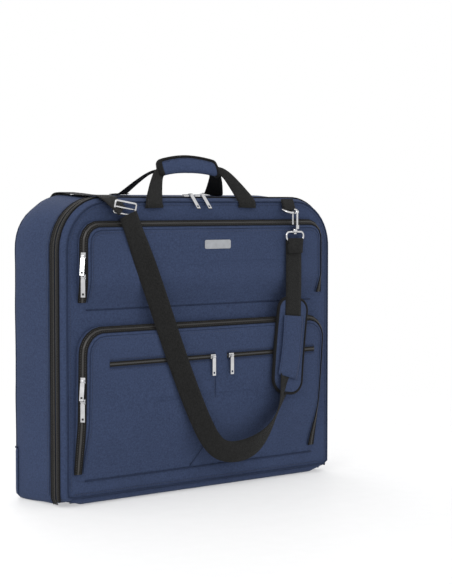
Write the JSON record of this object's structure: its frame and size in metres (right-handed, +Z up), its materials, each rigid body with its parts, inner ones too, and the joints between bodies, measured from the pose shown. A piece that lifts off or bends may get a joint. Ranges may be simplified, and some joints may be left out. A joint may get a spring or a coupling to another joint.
{
  "type": "garment bag",
  "caption": "Folding garment bag that opens flat on a bottom fold, with zipped front pockets, carry handles, shoulder strap and a stowed hanging hook",
  "frame": {"origin": "middle of the flat base the folded bag stands on", "axes": "+X to the right seen from the front, +Y from the front pockets to the back panel, +Z up"},
  "size_m": [0.618, 0.2155, 0.5977],
  "materials": {
    "navy_cloth": "woven, matte",
    "black_webbing": "webbing, matte",
    "zipper_tape": "woven, matte",
    "lining": "smooth, slight sheen",
    "piping": "matte",
    "zinc": "polished nickel",
    "board": "matte",
    "guard": "matte"
  },
  "bodies": {
    "back_half": {"back_shell": "navy_cloth", "back_board": "board", "mesh_pocket": "lining", "inner_zip_pocket": "lining", "retaining_band": "black_webbing", "band_buckle": "guard", "kick_guard": "navy_cloth", "main_zip_rear": "zipper_tape", "fold_spine": "lining", "strap_rear_run": "black_webbing", "rear_ring_tab": "black_webbing", "rear_swivel_loop": "zinc"},
    "front_half": {"front_shell": "navy_cloth", "front_board": "board", "inner_flap_left": "lining", "inner_flap_right": "lining", "main_zip_front": "zipper_tape", "front_piping": "piping", "upper_pocket": "navy_cloth", "lower_pocket": "navy_cloth", "upper_pocket_zip": "zipper_tape", "lower_pocket_zip": "zipper_tape", "small_zip_left": "zipper_tape", "small_zip_right": "zipper_tape", "badge_plate": "zinc", "front_ring_tab": "black_webbing", "front_swivel_loop": "zinc", "strap_front_run": "black_webbing", "strap_adjuster": "zinc", "shoulder_strap": "black_webbing", "shoulder_pad": "navy_cloth", "pad_sleeve": "navy_cloth", "hook_strap": "black_webbing"},
    "front_handle_body": {"front_handle": "black_webbing", "handle_grip": "navy_cloth"},
    "rear_handle_body": {"rear_handle": "black_webbing"},
    "front_ring_body": {"front_ring": "zinc"},
    "rear_ring_body": {"rear_ring": "zinc"},
    "front_hook_body": {"front_hook": "zinc"},
    "rear_hook_body": {"rear_hook": "zinc"},
    "front_gate_body": {"front_hook_gate": "zinc"},
    "rear_gate_body": {"rear_hook_gate": "zinc"},
    "hanging_hook_body": {"hanging_hook": "zinc", "hook_chain": "zinc"},
    "main_slider_left_body": {"main_slider_left": "zinc"},
    "main_pull_left_body": {"main_pull_left": "zinc"},
    "main_slider_right_body": {"main_slider_right": "zinc"},
    "main_pull_right_body": {"main_pull_right": "zinc"},
    "upper_slider_high_body": {"upper_slider_high": "zinc"},
    "upper_pull_high_body": {"upper_pull_high": "zinc"},
    "upper_slider_low_body": {"upper_slider_low": "zinc"},
    "upper_pull_low_body": {"upper_pull_low": "zinc"},
    "lower_slider_high_body": {"lower_slider_high": "zinc"},
    "lower_pull_high_body": {"lower_pull_high": "zinc"},
    "lower_slider_low_body": {"lower_slider_low": "zinc"},
    "lower_pull_low_body": {"lower_pull_low": "zinc"},
    "small_slider_left_body": {"small_slider_left": "zinc"},
    "small_pull_left_body": {"small_pull_left": "zinc"},
    "small_slider_right_body": {"small_slider_right": "zinc"},
    "small_pull_right_body": {"small_pull_right": "zinc"}
  },
  "joints": [
    {"name": "bag_fold", "type": "hinge", "parent": "back_half", "child": "front_half", "pos_m": [0, -0.051, 0.004], "axis": [1, 0, 0], "range_deg": [0, 180]},
    {"name": "front_handle_swing", "type": "hinge", "parent": "front_half", "child": "front_handle_body", "pos_m": [-0.012, -0.083, 0.513], "axis": [1, 0, 0], "range_deg": [0, 110]},
    {"name": "rear_handle_swing", "type": "hinge", "parent": "back_half", "child": "rear_handle_body", "pos_m": [-0.012, 0.022, 0.5284], "axis": [-1, 0, 0], "range_deg": [0, 125]},
    {"name": "front_ring_swing", "type": "hinge", "parent": "front_half", "child": "front_ring_body", "pos_m": [0.192, -0.086, 0.504], "axis": [-1, 0, 0], "range_deg": [0, 4]},
    {"name": "rear_ring_swing", "type": "hinge", "parent": "back_half", "child": "rear_ring_body", "pos_m": [-0.214, 0.074, 0.445], "axis": [1, 0, 0], "range_deg": [0, 4]},
    {"name": "front_hook_swivel", "type": "hinge", "parent": "front_half", "child": "front_hook_body", "pos_m": [0.192, -0.102, 0.46], "axis": [0, 0, 1], "range_deg": [-20, 20]},
    {"name": "rear_hook_swivel", "type": "hinge", "parent": "back_half", "child": "rear_hook_body", "pos_m": [-0.214, 0.09, 0.49], "axis": [0, 0, 1], "range_deg": [-20, 20]},
    {"name": "front_gate_press", "type": "hinge", "parent": "front_hook_body", "child": "front_gate_body", "pos_m": [0.192, -0.096, 0.4788], "axis": [1, 0, 0], "range_deg": [0, 20], "stiffness_Nm_per_rad": 0.02, "springref_deg": -17.19},
    {"name": "rear_gate_press", "type": "hinge", "parent": "rear_hook_body", "child": "rear_gate_body", "pos_m": [-0.214, 0.084, 0.4702], "axis": [1, 0, 0], "range_deg": [0, 20], "stiffness_Nm_per_rad": 0.02, "springref_deg": -17.19},
    {"name": "hanging_hook_swing", "type": "hinge", "parent": "front_half", "child": "hanging_hook_body", "pos_m": [0, -0.053, 0.484], "axis": [1, 0, 0], "range_deg": [0, 70]},
    {"name": "main_slider_left_travel", "type": "slide", "parent": "front_half", "child": "main_slider_left_body", "axis": [1, 0, 0], "range_m": [-0.05, 0]},
    {"name": "main_pull_left_swing", "type": "hinge", "parent": "main_slider_left_body", "child": "main_pull_left_body", "pos_m": [-0.027, -0.068, 0.532], "axis": [-1, 0, 0], "range_deg": [0, 130]},
    {"name": "main_slider_right_travel", "type": "slide", "parent": "front_half", "child": "main_slider_right_body", "axis": [1, 0, 0], "range_m": [0, 0.055]},
    {"name": "main_pull_right_swing", "type": "hinge", "parent": "main_slider_right_body", "child": "main_pull_right_body", "pos_m": [-0.001, -0.068, 0.532], "axis": [-1, 0, 0], "range_deg": [0, 130]},
    {"name": "upper_slider_high_travel", "type": "slide", "parent": "front_half", "child": "upper_slider_high_body", "axis": [0, 0, 1], "range_m": [0, 0.018]},
    {"name": "upper_pull_high_swing", "type": "hinge", "parent": "upper_slider_high_body", "child": "upper_pull_high_body", "pos_m": [-0.27601, -0.0905, 0.428], "axis": [-0.6508, 0.7593, 0], "range_deg": [0, 120]},
    {"name": "upper_slider_low_travel", "type": "slide", "parent": "front_half", "child": "upper_slider_low_body", "axis": [0, 0, 1], "range_m": [-0.046, 0]},
    {"name": "upper_pull_low_swing", "type": "hinge", "parent": "upper_slider_low_body", "child": "upper_pull_low_body", "pos_m": [-0.27601, -0.0905, 0.392], "axis": [-0.6508, 0.7593, 0], "range_deg": [0, 100]},
    {"name": "lower_slider_high_travel", "type": "slide", "parent": "front_half", "child": "lower_slider_high_body", "axis": [0, 0, 1], "range_m": [0, 0.04]},
    {"name": "lower_pull_high_swing", "type": "hinge", "parent": "lower_slider_high_body", "child": "lower_pull_high_body", "pos_m": [-0.28001, -0.0935, 0.217], "axis": [-0.6508, 0.7593, 0], "range_deg": [0, 120]},
    {"name": "lower_slider_low_travel", "type": "slide", "parent": "front_half", "child": "lower_slider_low_body", "axis": [0, 0, 1], "range_m": [-0.121, 0]},
    {"name": "lower_pull_low_swing", "type": "hinge", "parent": "lower_slider_low_body", "child": "lower_pull_low_body", "pos_m": [-0.28001, -0.0935, 0.181], "axis": [-0.6508, 0.7593, 0], "range_deg": [0, 100]},
    {"name": "small_slider_left_travel", "type": "slide", "parent": "front_half", "child": "small_slider_left_body", "axis": [1, 0, 0], "range_m": [-0.19, 0]},
    {"name": "small_pull_left_swing", "type": "hinge", "parent": "small_slider_left_body", "child": "small_pull_left_body", "pos_m": [-0.002, -0.1026, 0.242], "axis": [-1, 0, 0], "range_deg": [0, 120]},
    {"name": "small_slider_right_travel", "type": "slide", "parent": "front_half", "child": "small_slider_right_body", "axis": [1, 0, 0], "range_m": [0, 0.085]},
    {"name": "small_pull_right_swing", "type": "hinge", "parent": "small_slider_right_body", "child": "small_pull_right_body", "pos_m": [0.04, -0.1026, 0.242], "axis": [-1, 0, 0], "range_deg": [0, 120]}
  ]
}
